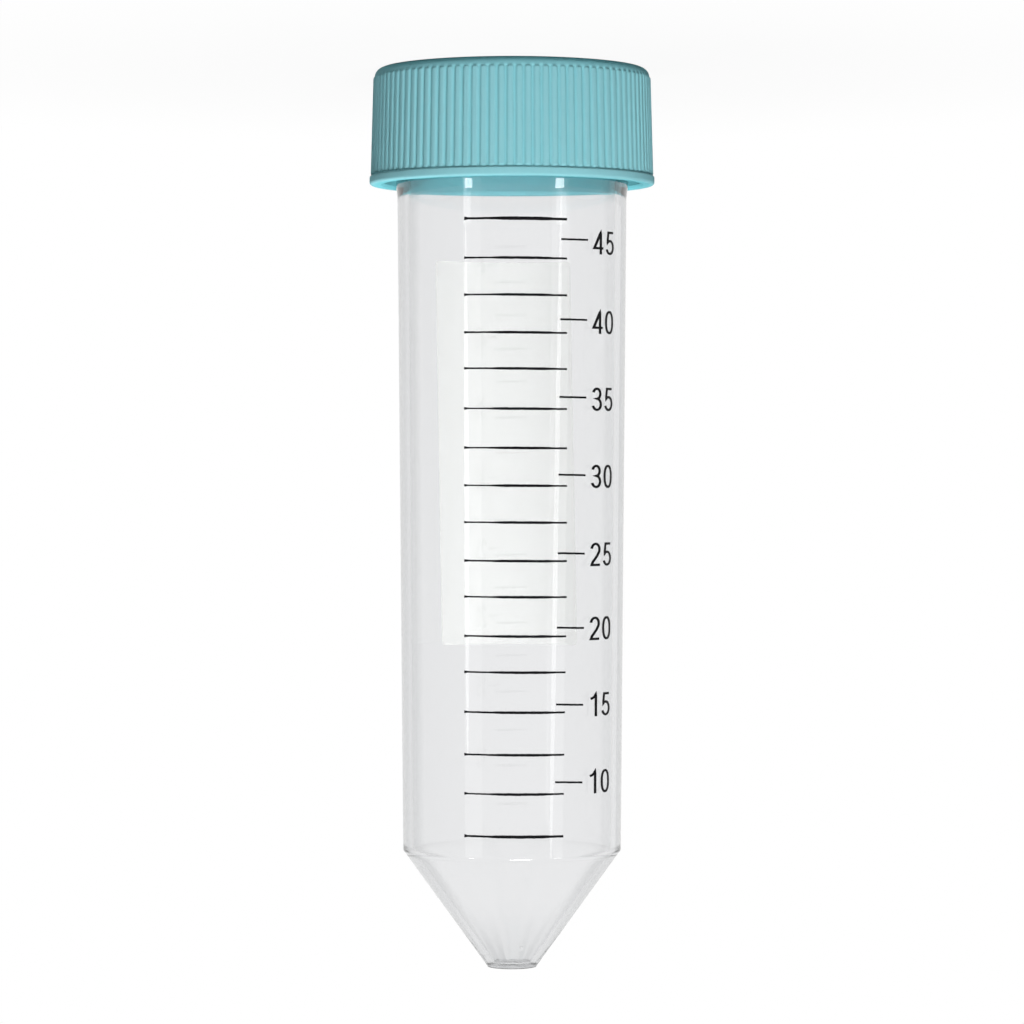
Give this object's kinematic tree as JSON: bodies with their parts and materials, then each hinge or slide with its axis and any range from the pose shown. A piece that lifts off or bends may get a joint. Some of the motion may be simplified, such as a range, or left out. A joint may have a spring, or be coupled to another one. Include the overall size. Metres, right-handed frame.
{
  "type": "50 ml conical tube",
  "caption": "Clear plastic centrifuge tube with a conical end, a printed volume scale and a ribbed teal screw cap that unscrews along its thread.",
  "frame": {"origin": "centre of the cap's flat top face, on which the tube stands tip up", "axes": "+Z along the tube's axis from the cap to the tip; -Y is the side that the volume scale faces, and +X is the other cross direction"},
  "size_m": [0.0364, 0.0364, 0.115],
  "materials": {
    "teal_plastic": "satin",
    "soft_foam": "matte",
    "clear_plastic": "gloss",
    "black_ink": "matte",
    "white_ink": "matte"
  },
  "bodies": {
    "cap": {"screw_cap": "teal_plastic"},
    "liner": {"cap_liner": "soft_foam"},
    "tube": {"tube": "clear_plastic"}
  },
  "joints": [
    {"name": "unscrew_turn", "type": "hinge", "parent": "cap", "child": "liner", "pos_m": [0, 0, 0], "axis": [0, 0, 1], "range_deg": [0, 1260]},
    {"name": "unscrew_rise", "type": "slide", "parent": "liner", "child": "tube", "axis": [0, 0, 1], "range_m": [0, 0.021]}
  ],
  "couplings": [
    {"joint": "unscrew_rise", "follows": "unscrew_turn", "m_per_rad": 0.00095493}
  ]
}
